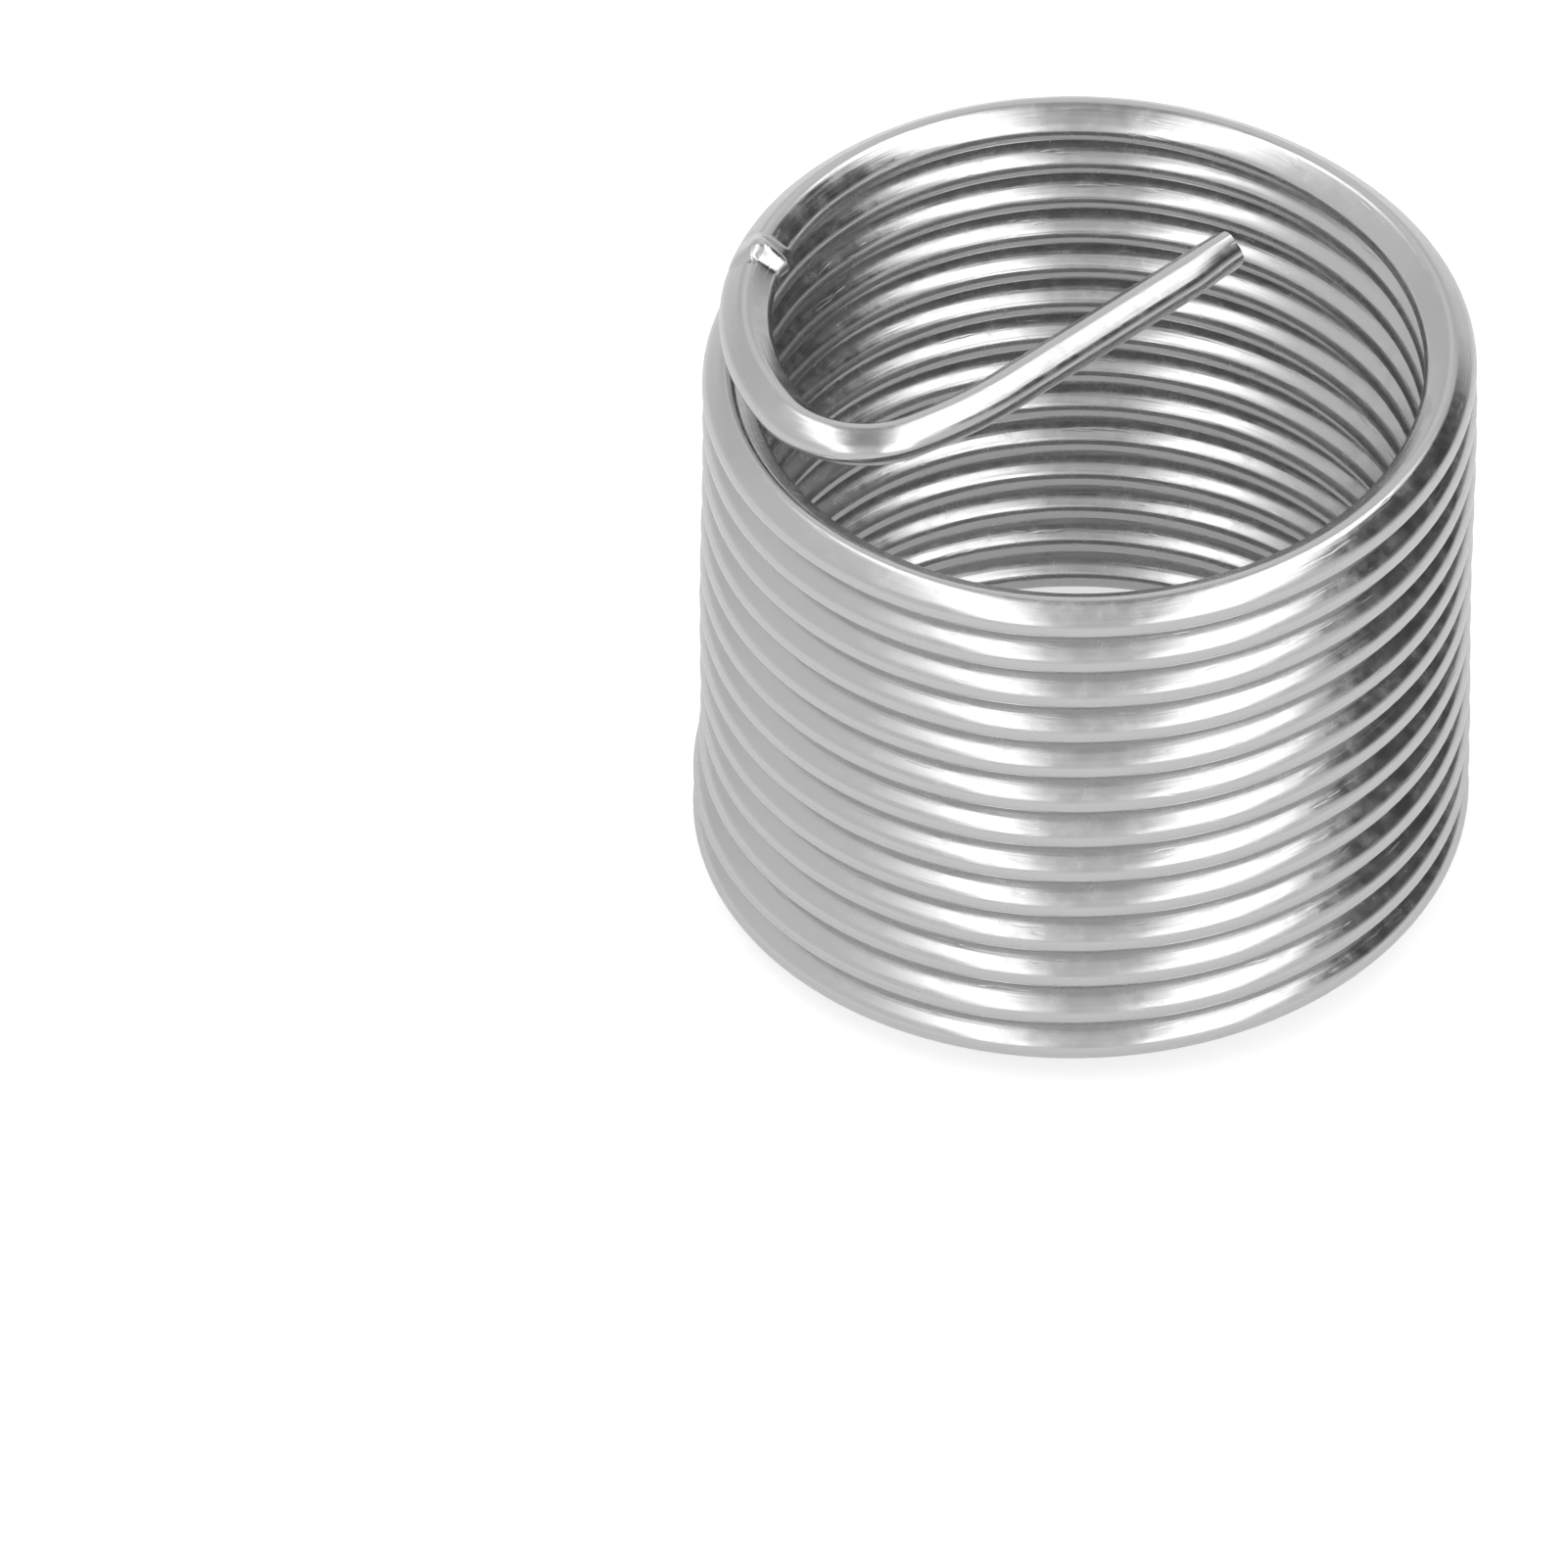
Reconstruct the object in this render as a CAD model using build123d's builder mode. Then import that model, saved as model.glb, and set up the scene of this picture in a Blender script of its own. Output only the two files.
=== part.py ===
"""Free-running wire thread insert, M22 x 1.5, one diameter long, as it is before it is fitted.

One length of diamond wire is coiled right-hand. Its outer crests thread into a tapped hole and its
inner crests make the new thread. At the top the last turn draws in, and past a break-off notch the
wire turns across the bore as the driving tang. The other end is cut square.
The axis is Z, and the origin is on it, level with the lowest point of the cut end.
"""
from build123d import *
from build123d.topology import SkipClean
import os
from math import cos, radians, sin, tan

# Thread, in its free state. The coil is made in equal arcs up to the run-out, which ends it.
pitch = 1.5
free_diameter = 24.6
turns = 13 + 1 / 6
start_angle = 60.0
run_out = 1 / 3
coil_arcs = 39
arc_turn = (turns - run_out) / coil_arcs

# Wire section: a rhombus with both of its sharp crests cut flat
turn_gap = 0.19
flank_angle = 30.0
crest_flat = 0.444
root_flat = 0.236
flank_slope = tan(radians(flank_angle))
corner_half = (pitch - turn_gap) / 2
point_reach = corner_half / flank_slope
crest_height = (corner_half - crest_flat / 2) / flank_slope
root_height = (corner_half - root_flat / 2) / flank_slope
outer_radius = free_diameter / 2
corner_radius = outer_radius - crest_height
bore_radius = corner_radius - root_height

# Tail: the lead-in to the notch, the draw-in past it, the bend and the straight tang
lead_in_drop = 1.13
lead_in_arc = 38.8
draw_in_drop = 0.55
draw_in_arc = 51.0
bend_radius = 3.03
bend_arc = 104.8
tang_overrun = 1.65
tail_tilt = 2.5
tail_ease = 0.02
lead_in_radius = corner_radius - lead_in_drop
draw_in_radius = lead_in_radius - draw_in_drop
tang_length = corner_radius + tang_overrun

# Break-off notch across the outer flank, and the lip pushed up beside it on the coil's side
notch_depth = 0.16
notch_width = 0.3
lip_rise = 0.28
lip_reach = 0.14
lip_length = 1.5


def across(place, along, up):
    """Plane across the wire at a place on its middle line: X inward, Y up, Z along the wire."""
    return Plane(place, x_dir=Vector(up).cross(along), z_dir=along)


def helix_from(first, count):
    """Middle line of the wire over a count of turns, from a number of turns above the cut end."""
    base = (0, 0, corner_half + pitch * first)
    line = Helix(pitch, pitch * count, corner_radius, center=base, mode=Mode.PRIVATE)
    return line.rotate(Axis.Z, start_angle + 360 * first)


# Sharp wire before its crests are trimmed, and the finished section, both X inward and Y up
sharp_section = [(point_reach, 0), (0, corner_half), (-point_reach, 0), (0, -corner_half)]
crest = crest_height - tail_ease
root = root_height - tail_ease
tail_half = corner_half - tail_ease
finished_section = [
    (root, root_flat / 2), (0, tail_half), (-crest, crest_flat / 2),
    (-crest, -crest_flat / 2), (0, -tail_half), (root, -root_flat / 2),
]

# One arc of the coil: sharp wire trimmed to the major and minor cylinders
with BuildPart() as coil_arc:
    with BuildLine() as arc_path:
        add(helix_from(0, arc_turn))
    with BuildSketch(across(arc_path.line @ 0, arc_path.line % 0, (0, 0, 1))):
        with BuildLine():
            Polyline(*sharp_section, close=True)
        make_face()
    sweep(path=arc_path.line, is_frenet=True)
    with BuildSketch(Plane.XY.offset(-pitch)):
        Circle(outer_radius)
        Circle(bore_radius, mode=Mode.SUBTRACT)
    extrude(amount=pitch * (arc_turn + 2), mode=Mode.INTERSECT)

# The arcs follow one another up the helix. Left uncleaned, each keeps its own crest faces.
arc_steps = [
    Location((0, 0, pitch * arc_turn * step), (0, 0, 360 * arc_turn * step))
    for step in range(coil_arcs)
]
with SkipClean():
    with BuildPart() as wire_coil:
        with Locations(*arc_steps):
            add(coil_arc.part, clean=False)

        # Run-out: the end of the last turn, a hair slimmer, on the same helix
        with BuildLine() as run_out_path:
            add(helix_from(turns - run_out, run_out))
        with BuildSketch(across(run_out_path.line @ 0, run_out_path.line % 0, (0, 0, 1))):
            with BuildLine():
                Polyline(*finished_section, close=True)
            make_face()
        sweep(path=run_out_path.line, is_frenet=True, clean=False)

        # Tail: it lies in a plane of its own, X along the wire and Y inward and, by the tilt, a little up
        tail_start, tail_along = run_out_path.line @ 1, run_out_path.line % 1
        start_plane = across(tail_start, tail_along, (0, 0, 1))
        tail_up = start_plane.y_dir.rotate(Axis((0, 0, 0), tail_along), tail_tilt)
        tail_plane = Plane(tail_start, x_dir=tail_along, z_dir=tail_up)
        with BuildLine(mode=Mode.PRIVATE) as flat_tail:
            lead_in = JernArc((0, 0), (1, 0), lead_in_radius, lead_in_arc)
            draw_in = JernArc(lead_in @ 1, lead_in % 1, draw_in_radius, draw_in_arc)
            bend = JernArc(draw_in @ 1, draw_in % 1, bend_radius, bend_arc)
            Line(bend @ 1, bend @ 1 + tang_length * (bend % 1))
        with BuildSketch(start_plane):
            with BuildLine():
                Polyline(*finished_section, close=True)
            make_face()
        sweep(path=tail_plane.from_local_coords(flat_tail.line), clean=False)

        # Lip: it rises out of the wire along the lead-in and ends upright at the notch
        lead_in_edge = tail_plane.from_local_coords(lead_in)
        lip_start = 1 - lip_length / lead_in_edge.length
        lip_planes = [
            across(lead_in_edge @ share, lead_in_edge % share, tail_up) for share in (lip_start, 1)
        ]
        for lip_plane, rise, reach in zip(lip_planes, (-tail_ease, lip_rise), (-tail_ease, lip_reach)):
            heel, toe = crest_flat / 2, root + reach
            with BuildSketch(lip_plane):
                with BuildLine():
                    Polyline(
                        (0, 0), (-heel, tail_half + rise / 2 - heel * flank_slope), (0, tail_half + rise),
                        (root / 2, corner_half + rise - root / 2 * flank_slope),
                        (toe, root_flat / 2 + rise / 2), (toe, 0), close=True,
                    )
                make_face()
        loft(clean=False)

        # Notch: a vee along the slope of the outer flank, open upward past the lip
        outward, up = -lip_planes[1].x_dir, lip_planes[1].y_dir
        downhill = outward * cos(radians(flank_angle)) - up * sin(radians(flank_angle))
        groove_start = lip_planes[1].origin + up * corner_half - downhill * notch_width
        with BuildSketch(Plane(groove_start, x_dir=lip_planes[1].z_dir, z_dir=downhill)):
            with BuildLine():
                Polyline(
                    (-notch_width / 2, 0), (0, -notch_depth), (notch_width / 2, 0),
                    (notch_width / 2, lip_rise + notch_width), (-notch_width / 2, lip_rise + notch_width),
                    close=True,
                )
            make_face()
        extrude(amount=notch_width + 2 * crest_height, mode=Mode.SUBTRACT, clean=False)

wire_coil.part.label = "wire_coil"
os.makedirs("parts", exist_ok=True)
export_step(wire_coil.part, "parts/wire_coil.step")
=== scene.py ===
"""Free-running wire thread insert, M22 x 1.5: the wire itself, a pale floor and a soft studio."""
import math
import bpy
import numpy as np
from mathutils import Matrix, Vector


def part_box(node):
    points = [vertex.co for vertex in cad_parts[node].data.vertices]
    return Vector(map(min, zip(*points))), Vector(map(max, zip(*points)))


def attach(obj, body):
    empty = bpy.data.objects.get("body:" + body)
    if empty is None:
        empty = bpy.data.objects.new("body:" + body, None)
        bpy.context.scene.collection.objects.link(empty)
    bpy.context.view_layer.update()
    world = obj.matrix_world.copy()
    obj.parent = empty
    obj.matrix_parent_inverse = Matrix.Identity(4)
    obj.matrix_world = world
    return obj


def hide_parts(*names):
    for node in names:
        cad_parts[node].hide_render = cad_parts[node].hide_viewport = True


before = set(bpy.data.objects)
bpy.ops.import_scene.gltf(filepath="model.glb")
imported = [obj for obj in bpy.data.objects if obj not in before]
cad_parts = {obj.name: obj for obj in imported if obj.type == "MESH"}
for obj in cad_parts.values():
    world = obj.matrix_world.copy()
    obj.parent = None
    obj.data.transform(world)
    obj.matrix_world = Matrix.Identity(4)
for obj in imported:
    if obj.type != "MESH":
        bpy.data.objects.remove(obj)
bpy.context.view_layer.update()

# The wire.
# One length of stainless wire drawn to a rhombus. It is coiled right-hand, struck with a break-off
# notch, and bent across the bore as the driving tang. Nothing else is fixed to it.

# Its middle line: a little over thirteen turns from the cut end up
mm = 0.001
low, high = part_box("wire_coil")
pitch, turns, start_angle = 1.5 * mm, 13 + 1 / 6, math.radians(60)
corner_half, crest_height = 0.655 * mm, 0.84 * mm
corner_radius = (high[0] - low[0]) / 2 - crest_height
steps_per_turn = 120

middle = []
for step in range(round(turns * steps_per_turn) + 1):
    turned = step / steps_per_turn
    angle = start_angle + turned * math.tau
    middle.append(Vector((
        corner_radius * math.cos(angle), corner_radius * math.sin(angle),
        low[2] + corner_half + pitch * turned)))

# Then its tail, in a plane tilted a little from the last turn's: a lead-in to the notch, a tighter
# draw-in past it, a close bend, the wide arc that springing back leaves, and the straight tang
tail_tilt = math.radians(2.5)
tail_start = middle[-1].copy()
end_angle = start_angle + turns * math.tau
ahead = Vector((
    -corner_radius * math.sin(end_angle), corner_radius * math.cos(end_angle),
    pitch / math.tau)).normalized()
inward = Vector((-math.cos(end_angle), -math.sin(end_angle), 0))
upright = ahead.cross(inward).normalized()
inward = inward * math.cos(tail_tilt) + upright * math.sin(tail_tilt)

lead_in_radius, lead_in_arc, lead_in_steps = 10.33 * mm, math.radians(38.8), 240
draw_in_radius, draw_in_arc, draw_in_steps = 9.78 * mm, math.radians(51.0), 240
bend_radius, bend_arc, bend_steps = 2.94 * mm, math.radians(89.8), 60
spring_back_radius, spring_back_arc, spring_back_steps = 14.4 * mm, math.radians(15.0), 30
tang_length, tang_steps = 10.0 * mm, 30
lead_in_end = len(middle) - 1 + lead_in_steps
place, heading = Vector((0, 0)), 0.0
for radius, arc, arc_steps in (
        (lead_in_radius, lead_in_arc, lead_in_steps), (draw_in_radius, draw_in_arc, draw_in_steps),
        (bend_radius, bend_arc, bend_steps),
        (spring_back_radius, spring_back_arc, spring_back_steps)):
    centre = place + radius * Vector((-math.sin(heading), math.cos(heading)))
    for step in range(1, arc_steps + 1):
        turned = heading + arc * step / arc_steps
        flat = centre + radius * Vector((math.sin(turned), -math.cos(turned)))
        middle.append(tail_start + flat.x * ahead + flat.y * inward)
    place, heading = flat, heading + arc
for step in range(1, tang_steps + 1):
    flat = place + tang_length * step / tang_steps * Vector((math.cos(heading), math.sin(heading)))
    middle.append(tail_start + flat.x * ahead + flat.y * inward)

# Each point's length along the wire from the notch, and the roll that the bend gives the tang
notch_past_lead_in = 1.5 * mm
tang_roll, roll_start, roll_length = math.radians(-10), 3.0 * mm, 6.0 * mm
along = np.concatenate([[0], np.cumsum([(b - a).length for a, b in zip(middle, middle[1:])])])
along -= along[lead_in_end] + notch_past_lead_in
roll = tang_roll * np.clip((along - roll_start) / roll_length, 0, 1)

path_mesh = bpy.data.meshes.new("wire_path")
path_mesh.from_pydata(middle, [(i, i + 1) for i in range(len(middle) - 1)], [])
for name, values in (("along", along), ("roll", roll)):
    path_mesh.attributes.new(name, "FLOAT", "POINT").data.foreach_set("value", values)
wire_path = bpy.data.objects.new("wire_path", path_mesh)
bpy.context.scene.collection.objects.link(wire_path)

# Its section: a rhombus with every corner rounded, whose flanks are steeper outside the middle
# line than inside it. The corners go round as lower, outer crest, upper, inner crest.
outer_rounding, inner_rounding, corner_rounding = 0.46 * mm, 0.42 * mm, 0.41 * mm
outer_lean, inner_lean = math.radians(37), math.radians(34)
crest_steps, corner_steps = 10, 5
outer_point = crest_height - outer_rounding + outer_rounding / math.sin(outer_lean)
inner_point = crest_height - inner_rounding + inner_rounding / math.sin(inner_lean)
corner_across = ((outer_point * math.tan(outer_lean) - inner_point * math.tan(inner_lean))
                 / (math.tan(outer_lean) + math.tan(inner_lean)))
corner_up = (outer_point - corner_across) * math.tan(outer_lean)
section_points = {
    "Lower Point": (corner_across, -corner_up, 0), "Outer Point": (outer_point, 0, 0),
    "Upper Point": (corner_across, corner_up, 0), "Inner Point": (-inner_point, 0, 0)}
section_roundings = {
    "Outer Rounding": outer_rounding, "Inner Rounding": inner_rounding,
    "Corner Rounding": corner_rounding}

# The section is swept along the middle line, standing upright
sweep = bpy.data.node_groups.new("drawn_wire", "GeometryNodeTree")
sweep.interface.new_socket("Geometry", in_out="INPUT", socket_type="NodeSocketGeometry")
for name in section_points:
    sweep.interface.new_socket(name, in_out="INPUT", socket_type="NodeSocketVector")
for name in section_roundings:
    sweep.interface.new_socket(name, in_out="INPUT", socket_type="NodeSocketFloat")
sweep.interface.new_socket("Finish", in_out="INPUT", socket_type="NodeSocketMaterial")
sweep.interface.new_socket("Geometry", in_out="OUTPUT", socket_type="NodeSocketGeometry")
given = sweep.nodes.new("NodeGroupInput").outputs
result = sweep.nodes.new("NodeGroupOutput")


def add_node(tree, kind, inputs=(), **settings):
    """A node of a tree, with its settings and its inputs, which are values or other sockets."""
    node = tree.nodes.new(kind)
    for key, value in settings.items():
        setattr(node, key, value)
    for key, value in inputs:
        if isinstance(value, bpy.types.NodeSocket):
            tree.links.new(value, node.inputs[key])
        else:
            node.inputs[key].default_value = value
    return node


rhombus = add_node(
    sweep, "GeometryNodeCurvePrimitiveQuadrilateral",
    [("Point 1", given["Lower Point"]), ("Point 2", given["Outer Point"]),
     ("Point 3", given["Upper Point"]), ("Point 4", given["Inner Point"])], mode="POINTS")
corner = add_node(sweep, "GeometryNodeInputIndex").outputs[0]
on_crest = add_node(sweep, "ShaderNodeMath", [(0, corner), (1, 2.0)], operation="MODULO")
past_outer = add_node(sweep, "ShaderNodeMath", [(0, corner), (1, 1.5)], operation="GREATER_THAN")
crest_rounding = add_node(
    sweep, "GeometryNodeSwitch",
    [("Switch", past_outer.outputs[0]), ("False", given["Outer Rounding"]),
     ("True", given["Inner Rounding"])], input_type="FLOAT")
rounding = add_node(
    sweep, "GeometryNodeSwitch",
    [("Switch", on_crest.outputs[0]), ("False", given["Corner Rounding"]),
     ("True", crest_rounding.outputs[0])], input_type="FLOAT")
rounding_steps = add_node(
    sweep, "GeometryNodeSwitch",
    [("Switch", on_crest.outputs[0]), ("False", corner_steps), ("True", crest_steps)],
    input_type="INT")
section = add_node(
    sweep, "GeometryNodeFilletCurve",
    [("Curve", rhombus.outputs[0]), ("Radius", rounding.outputs[0]),
     ("Count", rounding_steps.outputs[0])], mode="POLY")
section_place = add_node(sweep, "GeometryNodeInputPosition")
section_kept = add_node(
    sweep, "GeometryNodeStoreNamedAttribute",
    [("Geometry", section.outputs[0]), ("Name", "section"), ("Value", section_place.outputs[0])],
    data_type="FLOAT_VECTOR", domain="POINT")
path = add_node(sweep, "GeometryNodeMeshToCurve", [("Mesh", given["Geometry"])])
upright_path = add_node(
    sweep, "GeometryNodeSetCurveNormal", [("Curve", path.outputs[0])], mode="Z_UP")
roll_read = add_node(
    sweep, "GeometryNodeInputNamedAttribute", [("Name", "roll")], data_type="FLOAT")
rolled = add_node(
    sweep, "GeometryNodeSetCurveTilt",
    [("Curve", upright_path.outputs[0]), ("Tilt", roll_read.outputs[0])])
swept = add_node(
    sweep, "GeometryNodeCurveToMesh",
    [("Curve", rolled.outputs[0]), ("Profile Curve", section_kept.outputs[0]), ("Fill Caps", True)])
realized = add_node(sweep, "GeometryNodeRealizeInstances", [("Geometry", swept.outputs[0])])
finished = add_node(
    sweep, "GeometryNodeSetMaterial",
    [("Geometry", realized.outputs[0]), ("Material", given["Finish"])])
sweep.links.new(finished.outputs[0], result.inputs[0])

stainless = bpy.data.materials.new("drawn_stainless")
modifier = wire_path.modifiers.new("sweep", "NODES")
modifier.node_group = sweep
sockets = {
    item.name: item.identifier for item in sweep.interface.items_tree if item.in_out == "INPUT"}
for name, value in (*section_points.items(), *section_roundings.items()):
    modifier[sockets[name]] = value
modifier[sockets["Finish"]] = stainless
depsgraph = bpy.context.evaluated_depsgraph_get()
wire_mesh = bpy.data.meshes.new_from_object(
    wire_path.evaluated_get(depsgraph), depsgraph=depsgraph)
wire_path.modifiers.clear()
bpy.data.objects.remove(wire_path)

# What winding, striking and nipping leave on it. Each mark is placed by the length along the wire
# from the notch, and by how far outward and how far up a point lies in the section.
vertex_count = len(wire_mesh.vertices)
spots, section_at = np.zeros(vertex_count * 3), np.zeros(vertex_count * 3)
along_at = np.zeros(vertex_count)
wire_mesh.vertices.foreach_get("co", spots)
wire_mesh.attributes["section"].data.foreach_get("vector", section_at)
wire_mesh.attributes["along"].data.foreach_get("value", along_at)
spots, section_at = spots.reshape(-1, 3), section_at.reshape(-1, 3)
across_at, up_at = section_at[:, 0], -section_at[:, 1]

same_point = 1e-7
heading_at = np.gradient(np.array(middle), axis=0)
heading_at /= np.linalg.norm(heading_at, axis=1)[:, None]
outward_at = np.cross(heading_at, (0, 0, 1))
outward_at /= np.linalg.norm(outward_at, axis=1)[:, None]
upward_at = np.cross(outward_at, heading_at)
ring = np.clip(np.searchsorted(along, along_at - same_point), 0, len(along) - 1)
outward_at, upward_at = outward_at[ring], upward_at[ring]


def fade(value, start, end):
    """0 before start, 1 past end, and a smooth ramp between them."""
    share = np.clip((value - start) / (end - start), 0, 1)
    return share * share * (3 - 2 * share)


# Winding: the turns don't stand exactly over each other, and the last one is drawn in at one side
left_shift, low_left_shift, high_right_shift = 0.05 * mm, 0.15 * mm, 0.16 * mm
coil_swell, low_swell, last_draw = 0.06 * mm, 0.12 * mm, 0.25 * mm
last_draw_place, last_draw_reach = -21 * mm, 7 * mm
height = spots[:, 2] - low[2]
coiled = 1 - fade(along_at, -9 * mm, -4 * mm)
low_turns = 1 - fade(height, 2.2 * mm, 5.0 * mm)
high_turns = fade(height, 9.0 * mm, 18.0 * mm) * coiled
drawn_in = np.exp(-((along_at - last_draw_place) / last_draw_reach) ** 2)
spots[:, 0] += (
    -left_shift * coiled - low_left_shift * low_turns + high_right_shift * high_turns)
radial = spots[:, :2] / np.linalg.norm(spots[:, :2], axis=1)[:, None]
spots[:, :2] += radial * (
    coil_swell * coiled + low_swell * low_turns - last_draw * drawn_in)[:, None]

# Striking: a vee across the outer flank and crest
notch_place, notch_half, notch_depth = 0.02 * mm, 0.15 * mm, 0.26 * mm
notch_inner_edge, struck_lean = -0.05 * mm, math.radians(30)
upper = fade(up_at, -0.1 * mm, 0.12 * mm)
notch = (
    np.clip(1 - np.abs(along_at - notch_place) / notch_half, 0, 1)
    * upper * (across_at > notch_inner_edge))
flank_out = outward_at * math.sin(struck_lean) + upward_at * math.cos(struck_lean)
spots -= flank_out * (notch_depth * notch)[:, None]

# And the lip of metal that it pushes up on the coil's side, a little folded, and out over the bore
lip_height, lip_bulge, fold_depth = 0.34 * mm, 0.3 * mm, 0.12
lip_start, lip_top, lip_brow, lip_foot = -1.5 * mm, -0.5 * mm, -0.48 * mm, 0.0 * mm
ridge_inward, ridge_reach = 0.15 * mm, 0.75 * mm
lip = fade(along_at, lip_start, lip_top) * (1 - fade(along_at, lip_brow, lip_foot))
ridge = (
    np.exp(-((across_at + ridge_inward) / ridge_reach) ** 2) * fade(up_at, -0.1 * mm, 0.45 * mm))
folds = 1 + fold_depth * np.sin(along_at / (0.2 * mm) + across_at / (0.25 * mm))
spots += upward_at * (lip_height * lip * ridge * folds)[:, None]
inner_side = fade(-across_at, -0.2 * mm, 0.6 * mm) * fade(up_at, -0.1 * mm, 0.2 * mm)
spots -= outward_at * (lip_bulge * lip * inner_side)[:, None]

# Nipping: the tang's end is pressed in on its outer side where it was cut off
nip_depth, nip_length = 0.16 * mm, 2.2 * mm
nipped = (
    fade(along_at, along[-1] - nip_length, along[-1]) * fade(across_at, 0.0 * mm, 0.8 * mm))
spots -= outward_at * (nip_depth * nipped)[:, None]
wire_mesh.vertices.foreach_set("co", spots.ravel())
wire_mesh.update()

smooth_up_to = math.radians(55)
wire = bpy.data.objects.new("thread_insert_wire", wire_mesh)
bpy.context.scene.collection.objects.link(wire)
wire_mesh.shade_smooth()
wire_mesh.set_sharp_from_angle(angle=smooth_up_to)
weighted = wire.modifiers.new("flat_flanks", "WEIGHTED_NORMAL")
weighted.mode, weighted.weight, weighted.keep_sharp = "FACE_AREA", 80, True

# Its finish: bright wire as the die leaves it, with fine draw lines along it, patches that the
# coiling rollers have dulled, and short nicks that run with the wire. Scales are per metre.
steel_grey = 0.56
draw_lines_across, draw_lines_along, patch_scale = 9000, 260.0, 1400.0
least_rough, most_rough = 0.17, 0.30
nick_stretch = (0.6, 0.6, 2.4)
draw_strength, nick_strength, relief = 0.28, 0.16, 0.02 * mm
stainless.use_nodes = True
steel_tree = stainless.node_tree
steel_tree.nodes.clear()
length_read = add_node(steel_tree, "ShaderNodeAttribute", attribute_name="along")
section_read = add_node(steel_tree, "ShaderNodeAttribute", attribute_name="section")
length_scaled = add_node(
    steel_tree, "ShaderNodeMath", [(0, length_read.outputs["Fac"]), (1, draw_lines_along)],
    operation="MULTIPLY")
section_scaled = add_node(
    steel_tree, "ShaderNodeVectorMath",
    [(0, section_read.outputs["Vector"]), (1, (draw_lines_across, draw_lines_across, 0))],
    operation="MULTIPLY")
length_vector = add_node(
    steel_tree, "ShaderNodeCombineXYZ", [("Z", length_scaled.outputs[0])])
draw_place = add_node(
    steel_tree, "ShaderNodeVectorMath",
    [(0, section_scaled.outputs[0]), (1, length_vector.outputs[0])], operation="ADD")
draw_lines = add_node(
    steel_tree, "ShaderNodeTexNoise",
    [("Vector", draw_place.outputs[0]), ("Scale", 1.0), ("Detail", 3.0)])
wire_place = add_node(steel_tree, "ShaderNodeTexCoord")
patches = add_node(
    steel_tree, "ShaderNodeTexNoise",
    [("Vector", wire_place.outputs["Object"]), ("Scale", patch_scale), ("Detail", 4.0),
     ("Roughness", 0.6)])
dulled = add_node(
    steel_tree, "ShaderNodeMapRange",
    [("Value", patches.outputs["Fac"]), ("From Min", 0.35), ("From Max", 0.7),
     ("To Min", least_rough), ("To Max", most_rough)])
nick_place = add_node(
    steel_tree, "ShaderNodeVectorMath", [(0, draw_place.outputs[0]), (1, nick_stretch)],
    operation="MULTIPLY")
nicks = add_node(
    steel_tree, "ShaderNodeTexNoise",
    [("Vector", nick_place.outputs[0]), ("Scale", 1.0), ("Detail", 2.0)])
nick_depth = add_node(
    steel_tree, "ShaderNodeMapRange",
    [("Value", nicks.outputs["Fac"]), ("From Min", 0.64), ("From Max", 0.72), ("To Min", 1.0),
     ("To Max", 0.0)], interpolation_type="SMOOTHSTEP")
nick_bump = add_node(
    steel_tree, "ShaderNodeBump",
    [("Height", nick_depth.outputs[0]), ("Strength", nick_strength), ("Distance", relief)])
draw_bump = add_node(
    steel_tree, "ShaderNodeBump",
    [("Height", draw_lines.outputs["Fac"]), ("Strength", draw_strength), ("Distance", relief),
     ("Normal", nick_bump.outputs[0])])
steel = add_node(
    steel_tree, "ShaderNodeBsdfPrincipled",
    [("Metallic", 1.0), ("Base Color", (steel_grey, steel_grey, steel_grey, 1)),
     ("Roughness", dulled.outputs[0]), ("Normal", draw_bump.outputs[0])])
add_node(steel_tree, "ShaderNodeOutputMaterial", [("Surface", steel.outputs[0])])

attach(wire, "root")
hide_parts("wire_coil")

# The floor.
# A sheet of pale matt paper, a hair under the lowest turn. The camera sees it white but for the
# part's shadow, and the steel sees a part of that glow.
floor_half, floor_z = 2, low[2] - 0.09 * mm
paper_grey, glow_grey, glow_in_steel = 0.55, 0.62, 0.6
floor_mesh = bpy.data.meshes.new("floor")
floor_mesh.from_pydata(
    [(x * floor_half, y * floor_half, floor_z) for x, y in ((-1, -1), (1, -1), (1, 1), (-1, 1))],
    [], [(0, 1, 2, 3)])
floor = bpy.data.objects.new("floor", floor_mesh)
bpy.context.scene.collection.objects.link(floor)
paper = bpy.data.materials.new("pale_paper")
paper.use_nodes = True
paper_tree = paper.node_tree
paper_tree.nodes.clear()
matt = add_node(
    paper_tree, "ShaderNodeBsdfDiffuse", [("Color", (paper_grey, paper_grey, paper_grey, 1))])
rays = add_node(paper_tree, "ShaderNodeLightPath").outputs
seen = add_node(
    paper_tree, "ShaderNodeMath", [(0, rays["Is Camera Ray"]), (1, rays["Is Transmission Ray"])],
    operation="MAXIMUM")
glowing = add_node(
    paper_tree, "ShaderNodeMath",
    [(0, rays["Is Glossy Ray"]), (1, glow_in_steel), (2, seen.outputs[0])],
    operation="MULTIPLY_ADD")
glow = add_node(
    paper_tree, "ShaderNodeEmission",
    [("Color", (glow_grey, glow_grey, glow_grey, 1)), ("Strength", glowing.outputs[0])])
both = add_node(paper_tree, "ShaderNodeAddShader", [(0, matt.outputs[0]), (1, glow.outputs[0])])
add_node(paper_tree, "ShaderNodeOutputMaterial", [("Surface", both.outputs[0])])
floor_mesh.materials.append(paper)

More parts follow.
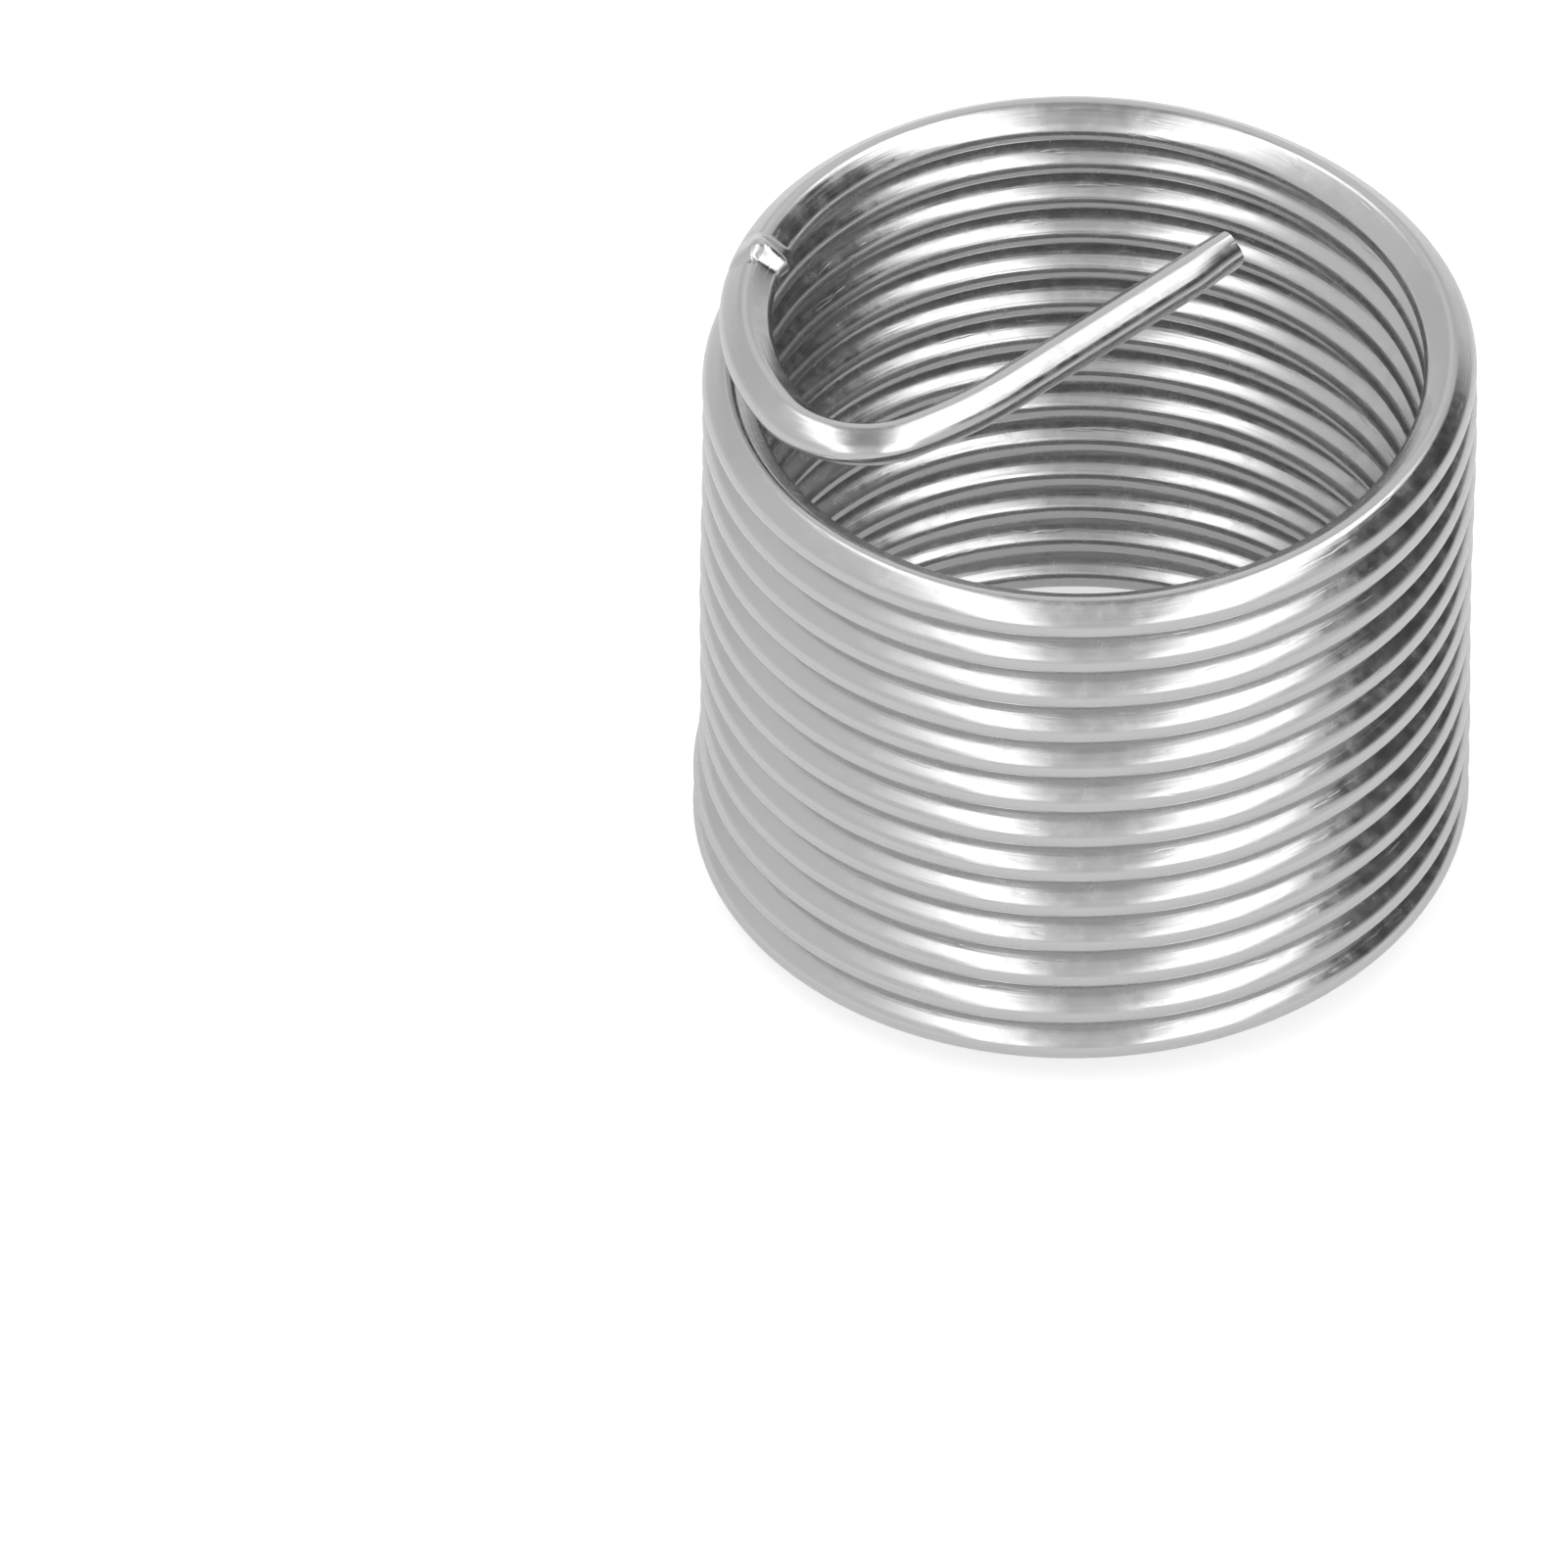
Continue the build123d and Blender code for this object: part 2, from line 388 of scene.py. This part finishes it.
# The room.
# Pale walls on both sides, a greyer ceiling that runs from front to back between them, a grey far
# wall and a dark curtain at the right. The camera itself sees plain white.
studio = bpy.data.worlds.new("studio")
bpy.context.scene.world = studio
studio.use_nodes = True
studio_tree = studio.node_tree
studio_tree.nodes.clear()
direction = add_node(studio_tree, "ShaderNodeTexCoord")
toward = add_node(
    studio_tree, "ShaderNodeSeparateXYZ", [(0, direction.outputs["Generated"])]).outputs


def ramp(axis, stops):
    """Greys along one axis of the direction, given as pairs of a place from -1 to 1 and a grey."""
    spread = add_node(
        studio_tree, "ShaderNodeMapRange",
        [("From Min", -1), ("From Max", 1), ("Value", toward[axis])])
    greys = add_node(studio_tree, "ShaderNodeValToRGB", [("Fac", spread.outputs[0])])
    elements = greys.color_ramp.elements
    while len(elements) > 1:
        elements.remove(elements[-1])
    for index, (stop_place, grey) in enumerate(stops):
        position = (stop_place + 1) / 2
        stop = elements[0] if index == 0 else elements.new(position)
        stop.position = position
        stop.color = (grey, grey, grey, 1)
    return greys.outputs["Color"]


def mix(factor, one, other, blend_type="MIX"):
    """Two greys mixed, or worked together, by a factor."""
    factor_socket, one_socket, other_socket, result_socket = 0, 6, 7, 2
    colours = [
        grey if isinstance(grey, bpy.types.NodeSocket) else (grey, grey, grey, 1)
        for grey in (one, other)]
    node = add_node(
        studio_tree, "ShaderNodeMix", data_type="RGBA", blend_type=blend_type,
        inputs=[(factor_socket, factor), (one_socket, colours[0]), (other_socket, colours[1])])
    return node.outputs[result_socket]


far_wall, curtain_grey, low_wall, room_level, white = 0.24, 0.02, 0.85, 3.0, 1.0
ceiling = ramp("Y", [
    (-0.95, 0.24), (-0.85, 0.23), (-0.65, 0.25), (-0.5, 0.21), (-0.35, 0.205), (-0.26, 0.15),
    (-0.15, 0.12), (0.3, 0.12), (0.55, 0.28), (0.8, 0.30)])
side_walls = ramp("X", [(-0.53, 0.27), (-0.43, 0.80), (0.60, 0.80), (0.66, 0.27), (0.9, 0.27)])
beside = ramp("X", [(-0.26, 1.0), (-0.215, 0.0), (0.215, 0.0), (0.26, 1.0)])
far_back = ramp("Y", [(0.32, 0.0), (0.5, 1.0)])
curtain_across = ramp("X", [(0.595, 0.0), (0.63, 1.0), (0.86, 1.0), (0.93, 0.75)])
curtain_back = ramp("Y", [(-0.28, 0.0), (-0.16, 1.0), (0.62, 1.0), (0.70, 0.2)])
curtain = mix(1.0, curtain_across, curtain_back, "MULTIPLY")
near_floor = ramp("Z", [(0.14, 1.0), (0.30, 0.0)])
room = mix(beside, ceiling, mix(far_back, side_walls, far_wall))
room = mix(curtain, room, curtain_grey)
room = mix(1.0, room, room_level, "MULTIPLY")
room = mix(near_floor, room, low_wall)
rays = add_node(studio_tree, "ShaderNodeLightPath").outputs
room = mix(rays["Is Camera Ray"], room, white)
air = add_node(studio_tree, "ShaderNodeBackground", [("Color", room)])
add_node(studio_tree, "ShaderNodeOutputWorld", [("Surface", air.outputs[0])])

# The lamp.
# One large soft lamp high over the front left, which deepens the part's shadow on the floor.
lamp_side, lamp_brightness = 0.3, 0.3
softbox = bpy.data.lights.new("high_softbox", "AREA")
softbox.shape, softbox.size, softbox.size_y = "RECTANGLE", lamp_side, lamp_side
softbox.energy = lamp_brightness * math.pi * lamp_side * lamp_side
lamp = bpy.data.objects.new("high_softbox", softbox)
lamp.location = (-0.3, -0.25, 0.5)
lamp_aim = Vector((0, 0, 0.01))
lamp.rotation_euler = (lamp_aim - lamp.location).to_track_quat("-Z", "Y").to_euler()
bpy.context.scene.collection.objects.link(lamp)

# The camera.
# It looks down on the part from the front, through a long lens and from well away.
target = Vector((0, 0, 0.010772))
elevation, camera_distance = math.radians(42.105), 1.25
aim_left, aim_down, camera_roll = 0.0097, 0.00661, math.radians(-0.110)
away = Vector((0, -math.cos(elevation), math.sin(elevation)))
right, up = Vector((1, 0, 0)), Vector((0, math.sin(elevation), math.cos(elevation)))
camera_data = bpy.data.cameras.new("camera")
camera_data.lens, camera_data.sensor_width = 896.5, 36
camera_data.clip_start, camera_data.clip_end = 0.01, 100
camera = bpy.data.objects.new("camera", camera_data)
camera.location = target + camera_distance * away
aim = target - aim_left * right - aim_down * up
back = (camera.location - aim).normalized()
level_side = up.cross(back).normalized()
level_top = back.cross(level_side)
side = level_side * math.cos(camera_roll) + level_top * math.sin(camera_roll)
top = level_top * math.cos(camera_roll) - level_side * math.sin(camera_roll)
camera.rotation_euler = Matrix((side, top, back)).transposed().to_euler()
bpy.context.scene.collection.objects.link(camera)
bpy.context.scene.camera = camera
bpy.context.scene.view_settings.view_transform = "Standard"

bpy.context.view_layer.update()
